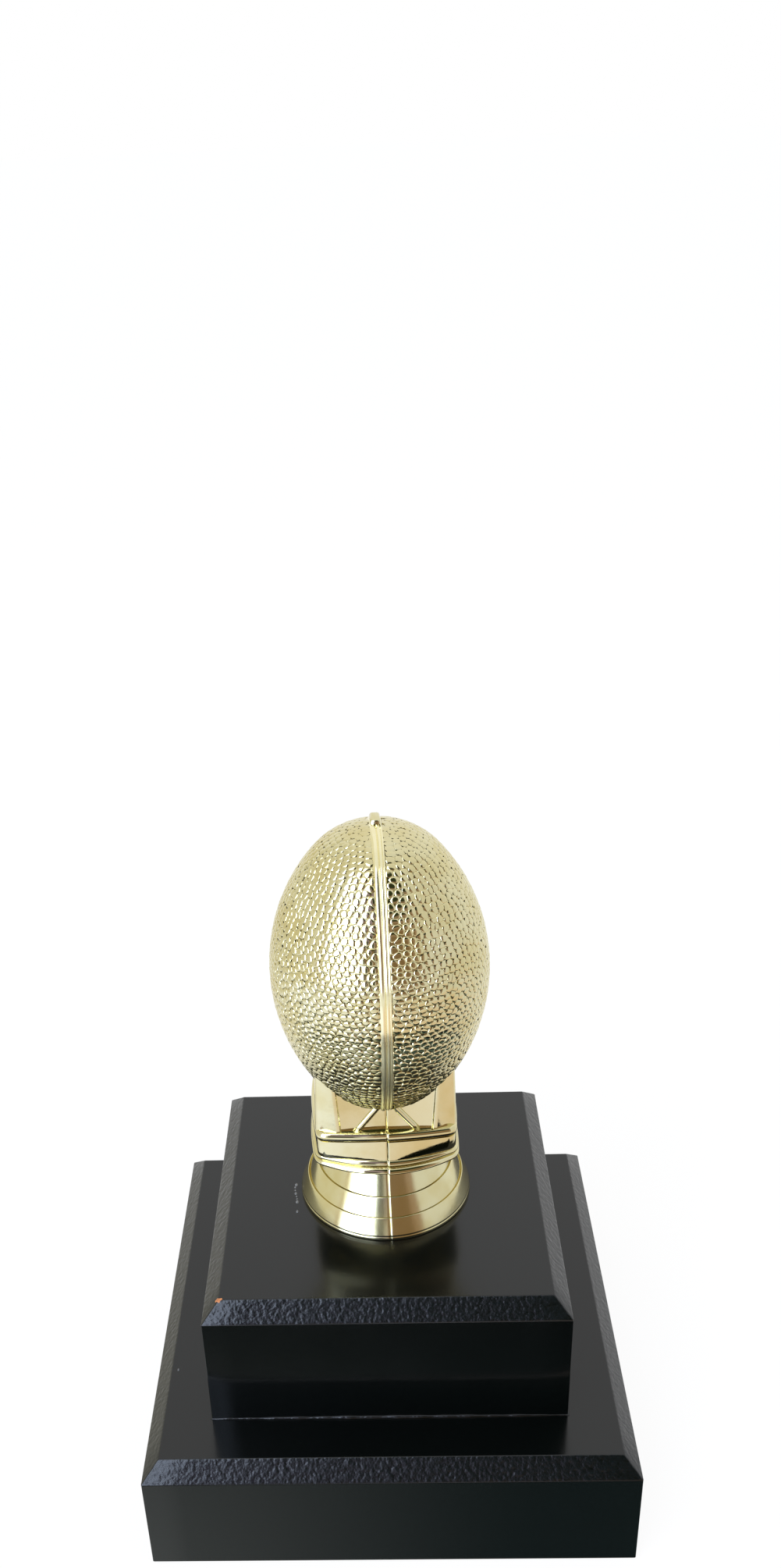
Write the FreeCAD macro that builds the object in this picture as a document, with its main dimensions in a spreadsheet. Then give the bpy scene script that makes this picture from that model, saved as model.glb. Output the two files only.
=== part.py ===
"""Gold football trophy on a two-tier wooden base.

The lower and upper tiers are chamfered wooden blocks. The gilt figure (football, column,
collar and round riser) is moulded as two hollow halves that meet in a plane across the
figure. A threaded rod, screwed into a nut held between the halves, pulls the figure down
through both tiers onto a washer and nut in the underside, which a felt sheet covers.

Millimetres, +Z up. The origin is the centre of the underside, where the felt rests.
Heights of the figure are above the top of the upper tier, where it stands.
"""
import FreeCAD, Part

import math
import os
import re

import Sketcher
from FreeCAD import Rotation, Vector

DOC = FreeCAD.newDocument("football_trophy")

# ---------------------------------------------------------------- driving dimensions

SIZES = {
    # wooden tiers and felt
    "lower_width": 139.7,
    "lower_height": 38.1,
    "upper_width": 102.4,
    "upper_height": 42.0,
    "tier_chamfer": 4.7,
    "felt_thickness": 1.0,
    "felt_inset": 1.5,
    # rod, nuts and washer
    "rod_x": 0.5,
    "rod_y": 1.6,
    "rod_diameter": 6.35,
    "rod_chamfer": 0.6,
    "rod_overrun": 2.0,
    "rod_clearance": 0.4,
    "thread_clearance": 0.1,
    "nut_flats": 11.1,
    "nut_height": 5.6,
    "washer_diameter": 18.6,
    "washer_thickness": 1.6,
    "recess_diameter": 25.4,
    "recess_depth": 14.0,
    # round riser
    "rim_radius": 25.6,
    "rim_height": 1.2,
    "low_ring_radius": 23.3,
    "low_ring_height": 6.4,
    "high_ring_radius": 20.3,
    "high_ring_height": 11.6,
    "ring_ledge": 0.5,
    "neck_radius": 16.6,
    # collar, from its foot up
    "foot_height": 20.4,
    "foot_bead": 1.7,
    "waist_bead": 1.9,
    "band_height": 6.2,
    "lip_bead": 2.9,
    "foot_half": 21.8,
    "band_half": 20.7,
    "lip_half": 21.1,
    "foot_depth": 21.0,
    "band_depth": 19.0,
    "lip_depth": 18.4,
    "bead_step": 0.5,
    "foot_bow": 35.0,
    "band_bow": 48.0,
    "lip_bow": 125.0,
    "collar_corner": 4.0,
    "bead_bevel": 0.9,
    # column
    "column_height": 23.5,
    "column_half": 20.2,
    "column_depth": 16.5,
    "column_draft": 0.7,
    "facet_depth": 1.9,
    "panel_half": 14.3,
    "panel_flare": 1.6,
    "panel_frame": 1.4,
    "panel_recess": 0.5,
    "rib_width": 2.0,
    "rib_relief": 0.7,
    "rib_apex": 44.4,
    "rib_spread": 8.8,
    # football
    "ball_radius": 30.4,
    "ball_centre": 78.0,
    "ball_top": 43.4,
    "ball_bottom": 43.8,
    "top_tip_radius": 23.2,
    "bottom_tip_radius": 24.3,
    "seam_half": 1.4,
    "seam_relief": 0.45,
    "gate_width": 2.9,
    "gate_height": 1.6,
    "gate_front": 0.6,
    "gate_back": 4.8,
    "lace_relief": 1.0,
    "lace_length": 34.0,
    "lace_width": 9.0,
    "lace_thickness": 1.8,
    "lace_count": 8,
    # inside of the figure
    "wall": 2.0,
    "boss_radius": 9.0,
    "boss_height": 13.0,
    "nut_floor": 4.0,
    "nut_clearance": 0.25,
    "web_thickness": 1.6,
    "web_height": 10.0,
    "peg_radius": 1.3,
    "peg_length": 3.0,
    "peg_clearance": 0.2,
    "peg_boss_radius": 2.8,
    "peg_boss_length": 6.0,
    "figure_turn": 3.0,
}

sheet = DOC.addObject("Spreadsheet::Sheet", "sizes")
for row, (alias, value) in enumerate(SIZES.items(), start=1):
    sheet.set(f"A{row}", alias)
    sheet.set(f"B{row}", str(value))
    sheet.setAlias(f"B{row}", alias)
DOC.recompute()


def value(text):
    """The present value of an expression in the names of the sheet."""
    return float(sheet.evalExpression(text))


def bind(target, prop, text):
    """Drives a property with an expression in the names of the sheet."""
    names = "|".join(SIZES)
    target.setExpression(prop, re.sub(rf"\b({names})\b", r"<<sizes>>.\1", text))


# Where the straight stretches of the football's outline meet, as shares of each arc.
BELLY_SHARES = [0.25, 0.5, 0.75]
TIP_SHARES = [0, 0.2, 0.4, 0.6, 0.8]
# Directions, in degrees, of the corners and levels of the flat-sided space inside.
RING_ANGLES = range(15, 375, 30)
CAVITY_ANGLES = [-75, -55, -30, 0, 30, 55, 75]


# ---------------------------------------------------------------- sketches and features

def origin_part(body, role):
    """The plane or axis of a body's own origin that has this role."""
    return next(item for item in body.Origin.OriginFeatures if item.Role == role)


def new_body(label):
    """An empty body with a label of its own."""
    body = DOC.addObject("PartDesign::Body", label)
    body.Label = label
    return body


def new_sketch(body, role="XY_Plane", offset=None):
    """A sketch on one of the body's origin planes, lifted along its normal by an expression."""
    sketch = body.newObject("Sketcher::SketchObject", body.Name + "_sketch")
    sketch.AttachmentSupport = (origin_part(body, role), [""])
    sketch.MapMode = "FlatFace"
    if offset:
        bind(sketch, "AttachmentOffset.Base.z", offset)
    return sketch


def fix(sketch, kind, where, text):
    """Adds a driven dimension: kind is DistanceX, DistanceY or Radius, where is its geometry."""
    if kind != "Radius" and text == "0":
        axis = -2 if kind == "DistanceX" else -1
        sketch.addConstraint(Sketcher.Constraint("PointOnObject", *where, axis))
        return
    index = sketch.addConstraint(Sketcher.Constraint(kind, *where, value(text)))
    bind(sketch, f"Constraints[{index}]", text)


def place_point(sketch, where, x_text, y_text):
    """Puts a point of the sketch at a place given by two expressions."""
    fix(sketch, "DistanceX", where, x_text)
    fix(sketch, "DistanceY", where, y_text)


def draw_outline(sketch, corners):
    """A closed outline of straight lines through corners given as pairs of expressions."""
    points = [Vector(value(x), value(y), 0) for x, y in corners]
    first = sketch.GeometryCount
    count = len(corners)
    for index, start in enumerate(points):
        sketch.addGeometry(Part.LineSegment(start, points[(index + 1) % count]), False)
    for index, (x_text, y_text) in enumerate(corners):
        line, following = first + index, first + (index + 1) % count
        sketch.addConstraint(Sketcher.Constraint("Coincident", line, 2, following, 1))
        place_point(sketch, (line, 1), x_text, y_text)


def draw_circle(sketch, radius, x_text="0", y_text="0"):
    """A circle whose radius and centre are expressions."""
    centre = Vector(value(x_text), value(y_text), 0)
    circle = sketch.addGeometry(Part.Circle(centre, Vector(0, 0, 1), value(radius)), False)
    fix(sketch, "Radius", (circle,), radius)
    place_point(sketch, (circle, 3), x_text, y_text)


def draw_square(sketch, side):
    """A square about the origin."""
    half = f"({side})/2"
    draw_outline(sketch, [(f"-{half}", f"-{half}"), (half, f"-{half}"), (half, half), (f"-{half}", half)])


def draw_hexagon(sketch, flats):
    """A hexagon about the origin, from its width across the flats, with two flats across X."""
    corner, half = f"({flats})/sqrt(3)", f"({flats})/2"
    side = f"{corner}/2"
    draw_outline(sketch, [
        (half, f"-{side}"), (half, side), ("0", corner),
        (f"-{half}", side), (f"-{half}", f"-{side}"), ("0", f"-{corner}"),
    ])


def arc(centre_x, centre_y, radius, start, end):
    """An arc of a circle between two angles in radians."""
    circle = Part.Circle(Vector(centre_x, centre_y, 0), Vector(0, 0, 1), radius)
    return Part.ArcOfCircle(circle, start, end)


def draw_bowed_box(sketch, half, depth, bow, corner):
    """A rectangle whose four sides are arcs of radius bow, joined by tangent arcs of radius corner.

    The rectangle reaches half along X and depth along Y, either way from the origin.
    """
    x_shift, y_shift = f"({half})-({bow})", f"({depth})-({bow})"
    kx, ky, reach, small = value(x_shift), value(y_shift), value(bow), value(corner)
    slope, rise = kx / ky, (ky * ky - kx * kx) / (2 * ky)
    a = 1 + slope * slope
    b = slope * rise - kx
    c = kx * kx + rise * rise - (reach - small) ** 2
    cx = (math.sqrt(b * b - a * c) - b) / a
    cy = slope * cx + rise
    side_end, end_start = math.atan2(cy, cx - kx), math.atan2(cy - ky, cx)
    half_turn = math.pi
    for across in (1, -1):
        lead = 0 if across > 0 else half_turn
        pieces = [
            arc(across * kx, 0, reach, lead - side_end, lead + side_end),
            arc(across * cx, across * cy, small, lead + side_end, lead + end_start),
            arc(0, across * ky, reach, lead + end_start, lead + half_turn - end_start),
            arc(-across * cx, across * cy, small,
                lead + half_turn - end_start, lead + half_turn - side_end),
        ]
        for piece in pieces:
            sketch.addGeometry(piece, False)
    for index in range(8):
        sketch.addConstraint(Sketcher.Constraint("Tangent", index, 2, (index + 1) % 8, 1))
    centres = [(x_shift, "0"), ("0", y_shift), (f"-({x_shift})", "0"), ("0", f"-({y_shift})")]
    for index, (x_text, y_text) in enumerate(centres):
        place_point(sketch, (2 * index, 3), x_text, y_text)
        fix(sketch, "Radius", (2 * index,), bow)
        fix(sketch, "Radius", (2 * index + 1,), corner)


def ball_corners(grow):
    """Corners along half the football's long section, grown by an expression, bottom first.

    Each end is a tip arc centred on the axis, tangent to a belly arc centred level with the middle.
    """
    halves = []
    ends = [("ball_bottom", "bottom_tip_radius", "-"), ("ball_top", "top_tip_radius", "+")]
    for length, tip, side in ends:
        rise = f"({length}-{tip})"
        reach = f"((ball_radius^2+{rise}^2-{tip}^2)/(2*(ball_radius-{tip})))"
        lean = f"atan({rise}/({reach}-ball_radius))"
        corners = []
        for share in BELLY_SHARES:
            angle = f"({share}*{lean})"
            corners.append((f"ball_radius-{reach}+({reach}+{grow})*cos({angle})",
                            f"ball_centre{side}({reach}+{grow})*sin({angle})"))
        for share in TIP_SHARES:
            angle = f"({lean}+{share}*(90deg-{lean}))"
            corners.append((f"({tip}+{grow})*cos({angle})",
                            f"ball_centre{side}({rise}+({tip}+{grow})*sin({angle}))"))
        corners.append(("0", f"ball_centre{side}({length}+{grow})"))
        halves.append(corners)
    bottom, top = halves
    return bottom[::-1] + [(f"ball_radius+{grow}", "ball_centre")] + top


def pad(body, sketch, length, both_ways=False, reverse=False):
    """Adds the sketch's area, extruded by an expression."""
    feature = body.newObject("PartDesign::Pad", body.Name + "_pad")
    feature.Profile = sketch
    feature.Midplane = both_ways
    feature.Reversed = reverse
    bind(feature, "Length", length)
    return feature


def pocket(body, sketch, length, reverse=False):
    """Cuts the sketch's area away, to a depth given by an expression."""
    feature = body.newObject("PartDesign::Pocket", body.Name + "_pocket")
    feature.Profile = sketch
    feature.Reversed = reverse
    bind(feature, "Length", length)
    return feature


def turn(body, sketch):
    """Revolves the sketch about its own vertical axis."""
    feature = body.newObject("PartDesign::Revolution", body.Name + "_turned")
    feature.Profile = sketch
    feature.ReferenceAxis = (sketch, ["V_Axis"])
    feature.Angle = 360
    return feature


def loft(body, low, high):
    """A straight loft from one sketch to the one above it."""
    feature = body.newObject("PartDesign::AdditiveLoft", body.Name + "_loft")
    feature.Profile = low
    feature.Sections = [high]
    feature.Ruled = True
    return feature


def level_edges(feature, height):
    """The names of a feature's edges that lie level at a height."""
    DOC.recompute()
    names = []
    for index, edge in enumerate(feature.Shape.Edges, start=1):
        box = edge.BoundBox
        if abs(box.ZMin - height) < 1e-4 and abs(box.ZMax - height) < 1e-4:
            names.append(f"Edge{index}")
    return names


def bevel_level(body, feature, height, size):
    """Bevels the edges of a feature that lie level at a height."""
    bevel = body.newObject("PartDesign::Chamfer", body.Name + "_bevel")
    bevel.Base = (feature, level_edges(feature, value(height)))
    bind(bevel, "Size", size)
    return bevel


def combine(kind, label, first, second):
    """A boolean of two solids: kind is Cut, Fuse or Common."""
    feature = DOC.addObject(f"Part::{kind}", label)
    feature.Label = label
    feature.Base = first
    feature.Tool = second
    return feature


# ---------------------------------------------------------------- heights from the floor

LOWER_TOP = "felt_thickness+lower_height"
FIGURE_BASE = f"{LOWER_TOP}+upper_height"
RECESS_TOP = "felt_thickness+recess_depth"
BASE_NUT_FOOT = f"{RECESS_TOP}-washer_thickness-nut_height"
ROD_HOLE = "rod_diameter/2+rod_clearance"

# heights above the figure's foot
WAIST_FOOT = "foot_height+foot_bead"
BAND_FOOT = f"{WAIST_FOOT}+waist_bead"
LIP_FOOT = f"{BAND_FOOT}+band_height"
COLUMN_FOOT = f"{LIP_FOOT}+lip_bead"
COLUMN_TOP = f"{COLUMN_FOOT}+column_height"


def seat(piece, height, turned=False):
    """Centres a piece on the rod at a height, turned with the figure if it is part of that."""
    bind(piece, "Placement.Base.x", "rod_x")
    bind(piece, "Placement.Base.y", "rod_y")
    bind(piece, "Placement.Base.z", height)
    if turned:
        piece.Placement.Rotation = Rotation(Vector(0, 0, 1), value("figure_turn"))
        bind(piece, "Placement.Rotation.Angle", "figure_turn")
    return piece


# ---------------------------------------------------------------- wooden tiers and felt

def make_tier(label, width, height, foot):
    """A square block with its upper edges chamfered and a hole for the rod down its middle."""
    body = new_body(label)
    outline = new_sketch(body)
    draw_square(outline, width)
    block = pad(body, outline, height)
    bevel_level(body, block, height, "tier_chamfer")
    hole = new_sketch(body)
    draw_circle(hole, ROD_HOLE, "rod_x", "rod_y")
    pocket(body, hole, height, reverse=True)
    bind(body, "Placement.Base.z", foot)
    return body


def make_lower_tier():
    """The wide block, with the recess in its underside for the washer and nut."""
    body = make_tier("lower_tier", "lower_width", "lower_height", "felt_thickness")
    recess = new_sketch(body)
    draw_circle(recess, "recess_diameter/2", "rod_x", "rod_y")
    pocket(body, recess, "recess_depth", reverse=True)
    return body


def make_felt():
    """The sheet under the lower tier."""
    body = new_body("felt_sheet")
    outline = new_sketch(body)
    draw_square(outline, "lower_width-2*felt_inset")
    pad(body, outline, "felt_thickness")
    return body


# ---------------------------------------------------------------- rod, nuts and washer

def make_rod():
    """The rod, with chamfered ends that stand past both nuts."""
    body = new_body("threaded_rod")
    radius, slim = "rod_diameter/2", "rod_diameter/2-rod_chamfer"
    foot = f"{BASE_NUT_FOOT}-rod_overrun"
    top = f"{FIGURE_BASE}+nut_floor+nut_height+rod_overrun"
    profile = new_sketch(body, "XZ_Plane")
    draw_outline(profile, [
        ("0", foot), (slim, foot), (radius, f"{foot}+rod_chamfer"),
        (radius, f"{top}-rod_chamfer"), (slim, top), ("0", top),
    ])
    turn(body, profile)
    return seat(body, "0")


def make_nut(label, foot, turned=False):
    """A plain hexagon nut."""
    body = new_body(label)
    outline = new_sketch(body)
    draw_hexagon(outline, "nut_flats")
    draw_circle(outline, "rod_diameter/2+thread_clearance")
    pad(body, outline, "nut_height")
    return seat(body, foot, turned)


def make_washer():
    """The flat washer between the lower tier and the nut under it."""
    body = new_body("base_washer")
    outline = new_sketch(body)
    draw_circle(outline, "washer_diameter/2")
    draw_circle(outline, ROD_HOLE)
    pad(body, outline, "washer_thickness")
    return seat(body, f"{RECESS_TOP}-washer_thickness")


# ---------------------------------------------------------------- outside of the figure

def add_riser(body):
    """The round flared riser: three cones, each stepped in from the one below."""
    profile = new_sketch(body, "XZ_Plane")
    draw_outline(profile, [
        ("0", "0"),
        ("rim_radius", "0"),
        ("rim_radius", "rim_height"),
        ("low_ring_radius", "low_ring_height"),
        ("low_ring_radius-ring_ledge", "low_ring_height"),
        ("high_ring_radius", "high_ring_height"),
        ("high_ring_radius-ring_ledge", "high_ring_height"),
        ("neck_radius", "foot_height"),
        ("neck_radius", WAIST_FOOT),
        ("0", WAIST_FOOT),
    ])
    turn(body, profile)


def add_collar(body):
    """Beads and a band, nearly round at the foot and nearly rectangular at the lip."""
    middle_depth, middle_bow = "(foot_depth+band_depth)/2", "(foot_bow+band_bow)/2"
    waist_half = "foot_half-bead_step"
    stages = [
        ("foot_height", "foot_bead", "foot_half",
         ("foot_depth", "foot_bow"), (middle_depth, middle_bow)),
        (WAIST_FOOT, "waist_bead", waist_half,
         (f"{middle_depth}-bead_step", middle_bow), ("band_depth", "band_bow")),
        (BAND_FOOT, "band_height", "band_half",
         ("band_depth-bead_step", "band_bow"), ("lip_depth-(lip_half-band_half)", "lip_bow")),
        (LIP_FOOT, "lip_bead", "lip_half",
         ("lip_depth", "lip_bow"), ("lip_depth", "lip_bow")),
    ]
    for foot, height, half, (low_depth, low_bow), (high_depth, high_bow) in stages:
        top = f"{foot}+{height}"
        low = new_sketch(body, offset=foot)
        draw_bowed_box(low, half, low_depth, low_bow, "collar_corner")
        high = new_sketch(body, offset=top)
        draw_bowed_box(high, half, high_depth, high_bow, "collar_corner")
        stage = loft(body, low, high)
        if half != "band_half":
            bevel_level(body, stage, top, "bead_bevel")


def column_corners(half, depth, panel):
    """Corners of an eight-sided section: half and depth are its reach along X and Y.

    The front and back panels end at panel, and shallow facets lead to the side panels.
    """
    side = f"({depth}-facet_depth)"
    half, depth, panel = f"({half})", f"({depth})", f"({panel})"
    return [
        (panel, f"-{depth}"), (half, f"-{side}"), (half, side), (panel, depth),
        (f"-{panel}", depth), (f"-{half}", side), (f"-{half}", f"-{side}"), (f"-{panel}", f"-{depth}"),
    ]


def add_column(body):
    """The eight-sided column, with a sunk panel and a chevron of ribs before and behind."""
    low = new_sketch(body, offset=COLUMN_FOOT)
    draw_outline(low, column_corners("column_half", "column_depth", "panel_half"))
    high = new_sketch(body, offset=COLUMN_TOP)
    top_half, top_panel = "column_half-column_draft", "panel_half+panel_flare"
    draw_outline(high, column_corners(top_half, "column_depth", top_panel))
    loft(body, low, high)

    sunk = new_sketch(body, "XZ_Plane", offset="column_depth-panel_recess")
    low_side, high_side = "panel_half-panel_frame", "panel_half+panel_flare-panel_frame"
    draw_outline(sunk, [
        (f"-({low_side})", COLUMN_FOOT), (low_side, COLUMN_FOOT),
        (high_side, COLUMN_TOP), (f"-({high_side})", COLUMN_TOP),
    ])
    front = pocket(body, sunk, "2*panel_recess", reverse=True)
    back = body.newObject("PartDesign::Mirrored", body.Name + "_mirrored")
    back.Originals = [front]
    back.MirrorPlane = (origin_part(body, "XZ_Plane"), [""])
    body.Tip = back

    ribs = new_sketch(body, "XZ_Plane")
    rise = f"(rib_apex-({COLUMN_FOOT}))"
    across = f"rib_width/2*sqrt(1+(rib_spread/{rise})^2)"
    up = f"{across}*{rise}/rib_spread"
    outer, inner = f"rib_spread+{across}", f"rib_spread-{across}"
    draw_outline(ribs, [
        ("0", f"rib_apex+{up}"), (outer, COLUMN_FOOT), (inner, COLUMN_FOOT),
        ("0", f"rib_apex-{up}"), (f"-({inner})", COLUMN_FOOT), (f"-({outer})", COLUMN_FOOT),
    ])
    pad(body, ribs, "2*(column_depth-panel_recess+rib_relief)", both_ways=True)


def make_ball(label, grow):
    """A solid football, grown all over by an expression."""
    body = new_body(label)
    profile = new_sketch(body, "XZ_Plane")
    draw_outline(profile, ball_corners(grow))
    turn(body, profile)
    return body


def make_seam_band():
    """The plain band that stands proud of the football along the seam."""
    slab = new_body("seam_slab")
    outline = new_sketch(slab, "YZ_Plane")
    span = "ball_radius+seam_relief+1"
    foot, top = COLUMN_FOOT, "ball_centre+ball_top+seam_relief+1"
    draw_outline(outline, [(f"-({span})", foot), (span, foot), (span, top), (f"-({span})", top)])
    pad(slab, outline, "2*seam_half", both_ways=True)
    return combine("Common", "seam_band", make_ball("seam_ball", "seam_relief"), slab)


def make_laces():
    """The lacing across the seam at the back of the football."""
    bars = new_body("lace_bars")
    outline = new_sketch(bars, "XZ_Plane")
    half = "lace_width/2"
    foot = "ball_centre-lace_length/2"
    draw_outline(outline, [
        (f"-{half}", foot), (half, foot),
        (half, f"{foot}+lace_thickness"), (f"-{half}", f"{foot}+lace_thickness"),
    ])
    bar = pad(bars, outline, "ball_radius+lace_relief+1", reverse=True)
    row = bars.newObject("PartDesign::LinearPattern", "lace_row")
    row.Originals = [bar]
    row.Direction = (outline, ["V_Axis"])
    bind(row, "Length", "lace_length-lace_thickness")
    bind(row, "Occurrences", "lace_count")
    bars.Tip = row
    return combine("Common", "laces", make_ball("lace_ball", "lace_relief"), bars)


def make_form():
    """The whole outside of the figure as one solid."""
    body = new_body("figure_form")
    add_riser(body)
    add_collar(body)
    add_column(body)
    profile = new_sketch(body, "XZ_Plane")
    draw_outline(profile, ball_corners("0"))
    turn(body, profile)
    gate = new_sketch(body, offset="ball_centre")
    draw_outline(gate, [
        ("-gate_width/2", "-gate_front"), ("gate_width/2", "-gate_front"),
        ("gate_width/2", "gate_back"), ("-gate_width/2", "gate_back"),
    ])
    pad(body, gate, "ball_top+gate_height")
    banded = combine("Fuse", "banded_form", body, make_seam_band())
    return combine("Fuse", "laced_form", banded, make_laces())


# ---------------------------------------------------------------- inside of the figure

INNER_HALF = "column_half-column_draft-wall"
INNER_DEPTH = "column_depth-panel_recess-wall"
PEG_INSET = "wall+peg_boss_radius/2"
PEG_PLACES = [
    (f"-(ball_radius-({PEG_INSET}))", "ball_centre"),
    (f"ball_radius-({PEG_INSET})", "ball_centre"),
    (f"-({INNER_DEPTH}-peg_boss_radius/2)", BAND_FOOT),
    (f"{INNER_DEPTH}-peg_boss_radius/2", BAND_FOOT),
]


def make_space(label, stations):
    """A flat-sided solid through twelve-sided rings, each a radius at a height."""
    rings = []
    for radius, height in stations:
        reach, level = value(radius), value(height)
        rings.append([
            Vector(reach * math.cos(angle), reach * math.sin(angle), level)
            for angle in map(math.radians, RING_ANGLES)
        ])
    outlines = [rings[0], rings[-1]]
    for low, high in zip(rings, rings[1:]):
        for side in range(len(low)):
            outlines.append([low[side - 1], low[side], high[side], high[side - 1]])
    faces = [Part.Face(Part.makePolygon(outline + outline[:1])) for outline in outlines]
    space = DOC.addObject("Part::Feature", label)
    space.Shape = Part.makeSolid(Part.Shell(faces))
    return space


def make_cavity():
    """The space inside the figure: riser, column and football, each a wall thickness in."""
    inner_rim = "rim_radius-wall"
    inner_neck = "neck_radius-wall"
    ceiling = "foot_height+wall"
    riser_space = make_space("riser_space", [
        (inner_rim, "0"), (inner_rim, "rim_height"),
        ("high_ring_radius-ring_ledge-wall", "high_ring_height"),
        (inner_neck, "foot_height"), (inner_neck, ceiling),
    ])
    shaft = new_body("shaft_space")
    outline = new_sketch(shaft, offset=ceiling)
    draw_outline(outline, column_corners(INNER_HALF, INNER_DEPTH, "panel_half-wall"))
    pad(shaft, outline, f"{COLUMN_TOP}-wall-({ceiling})")
    ball_space = make_space("ball_space", [
        (f"(ball_radius-wall)*cos({angle})", f"ball_centre+(ball_top-wall)*sin({angle})")
        for angle in CAVITY_ANGLES
    ])
    lower = combine("Fuse", "lower_space", riser_space, shaft)
    return combine("Fuse", "cavity", lower, ball_space)


def make_stiffeners():
    """What stands in the cavity: the boss round the rod, its webs and the bosses of the pegs."""
    body = new_body("stiffeners")
    boss = new_sketch(body)
    draw_circle(boss, "boss_radius")
    pad(body, boss, "boss_height")
    web = new_sketch(body)
    far = "(rim_radius+web_thickness/2)/sqrt(2)"
    near = "(rim_radius-web_thickness/2)/sqrt(2)"
    draw_outline(web, [
        (near, far), (f"-{far}", f"-{near}"), (f"-{near}", f"-{far}"), (far, near),
    ])
    first = pad(body, web, "web_height")
    cross = body.newObject("PartDesign::PolarPattern", "web_cross")
    cross.Originals = [first]
    cross.Axis = (web, ["N_Axis"])
    cross.Angle = 90
    cross.Occurrences = 2
    body.Tip = cross
    return body


def make_pegs(label, radius, start, end):
    """Round pegs across the seam, from one distance along X to another, at the peg places."""
    body = new_body(label)
    outline = new_sketch(body, "YZ_Plane", offset=start)
    for y_text, z_text in PEG_PLACES:
        draw_circle(outline, radius, y_text, z_text)
    pad(body, outline, f"{end}-({start})")
    return body


def make_rod_space():
    """The hole for the rod through the boss, and the hexagonal seat that holds the nut."""
    body = new_body("rod_space")
    hole = new_sketch(body)
    draw_circle(hole, ROD_HOLE)
    pad(body, hole, "boss_height")
    seat = new_sketch(body, offset="nut_floor")
    draw_hexagon(seat, "nut_flats+2*nut_clearance")
    pad(body, seat, "nut_height+2*nut_clearance")
    return body


def make_half_space(label, side):
    """A block that holds everything on one side of the seam."""
    box = DOC.addObject("Part::Box", label)
    bind(box, "Length", "rim_radius+ball_radius")
    bind(box, "Width", "2*(rim_radius+ball_radius)")
    bind(box, "Height", "ball_centre+2*ball_top")
    bind(box, "Placement.Base.x", "0" if side > 0 else "-(rim_radius+ball_radius)")
    bind(box, "Placement.Base.y", "-(rim_radius+ball_radius)")
    return box


def make_figure_halves():
    """The two moulded halves; pegs on the left one enter holes in the right one."""
    peg_bosses = make_pegs("peg_bosses", "peg_boss_radius", "-peg_boss_length", "peg_boss_length")
    inside = combine("Fuse", "inside_parts", make_stiffeners(), peg_bosses)
    hollow = combine("Cut", "hollow", make_cavity(), inside)
    shell = combine("Cut", "shell", make_form(), hollow)
    cored = combine("Cut", "cored_shell", shell, make_rod_space())
    left_side = combine("Common", "left_side", cored, make_half_space("left_space", -1))
    right_side = combine("Common", "right_side", cored, make_half_space("right_space", 1))
    pegs = make_pegs("pegs", "peg_radius", "-peg_length", "peg_length")
    peg_holes = make_pegs("peg_holes", "peg_radius+peg_clearance", "0", "peg_length+peg_clearance")
    left = combine("Fuse", "figure_left_half", left_side, pegs)
    right = combine("Cut", "figure_right_half", right_side, peg_holes)
    return [seat(half, FIGURE_BASE, turned=True) for half in (left, right)]


# ---------------------------------------------------------------- assembly

PARTS = [
    make_felt(),
    make_lower_tier(),
    make_tier("upper_tier", "upper_width", "upper_height", LOWER_TOP),
    make_rod(),
    make_nut("base_nut", BASE_NUT_FOOT),
    make_washer(),
    make_nut("figure_nut", f"{FIGURE_BASE}+nut_floor", turned=True),
    *make_figure_halves(),
]
DOC.recompute()

for item in DOC.Objects:
    if "Invalid" in item.State or "Error" in item.State:
        raise RuntimeError(f"{item.Label} failed: {item.State}")

os.makedirs("parts", exist_ok=True)
for part in PARTS:
    shape = part.Shape
    if shape.isNull() or not shape.isValid() or not shape.Solids:
        raise RuntimeError(f"{part.Label} has no valid solid")
    print(f"{part.Label}: {len(shape.Solids)} solid, volume {shape.Volume:.1f} mm3, {shape.BoundBox}")
    shape.exportStep(f"parts/{part.Label}.step")
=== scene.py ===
"""A gold football trophy on two black wooden tiers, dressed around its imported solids.

Figure sizes are millimetres in the figure's own frame: its foot stands on the upper tier,
X runs across the parting seam, -Y is the front and Z is height above the upper tier.
"""
import logging
import math
import random
from collections.abc import Iterable, Sequence
from dataclasses import dataclass, field
from enum import Enum
from typing import Union

import bpy
from mathutils import Matrix, Vector
from mathutils.kdtree import KDTree


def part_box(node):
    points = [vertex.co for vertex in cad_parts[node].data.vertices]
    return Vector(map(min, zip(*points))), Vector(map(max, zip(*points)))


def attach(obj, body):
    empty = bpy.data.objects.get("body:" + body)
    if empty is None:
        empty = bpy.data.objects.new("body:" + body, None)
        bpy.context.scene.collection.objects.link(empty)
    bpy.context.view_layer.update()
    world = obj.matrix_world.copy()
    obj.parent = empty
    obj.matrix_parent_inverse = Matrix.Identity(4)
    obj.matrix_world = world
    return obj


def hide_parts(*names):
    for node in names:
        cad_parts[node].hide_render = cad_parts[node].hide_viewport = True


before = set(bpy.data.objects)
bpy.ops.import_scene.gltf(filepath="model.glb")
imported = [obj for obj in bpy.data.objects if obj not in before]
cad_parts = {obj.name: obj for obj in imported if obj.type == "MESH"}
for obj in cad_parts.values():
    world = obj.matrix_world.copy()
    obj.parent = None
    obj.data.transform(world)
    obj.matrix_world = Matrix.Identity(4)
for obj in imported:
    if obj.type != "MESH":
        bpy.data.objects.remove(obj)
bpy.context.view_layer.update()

LOG = logging.getLogger("trophy")
MM = 0.001
BODY = "root"
Link = Union["Sock", float, Sequence[float]]
Corner = tuple[float, float]
# A colour, or a place.
Triple = tuple[float, float, float]
Piece = bpy.types.Object
Finish = bpy.types.Material
# A place on a curved skin, its level and rising tangents, and its normal.
Spot = tuple[Vector, Vector, Vector, Vector]
# Edges sharper than these many degrees stay crisp.
CRISP_WOOD = 30
CRISP_STUB = 50
CRISP_MOULDING = 65


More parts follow.
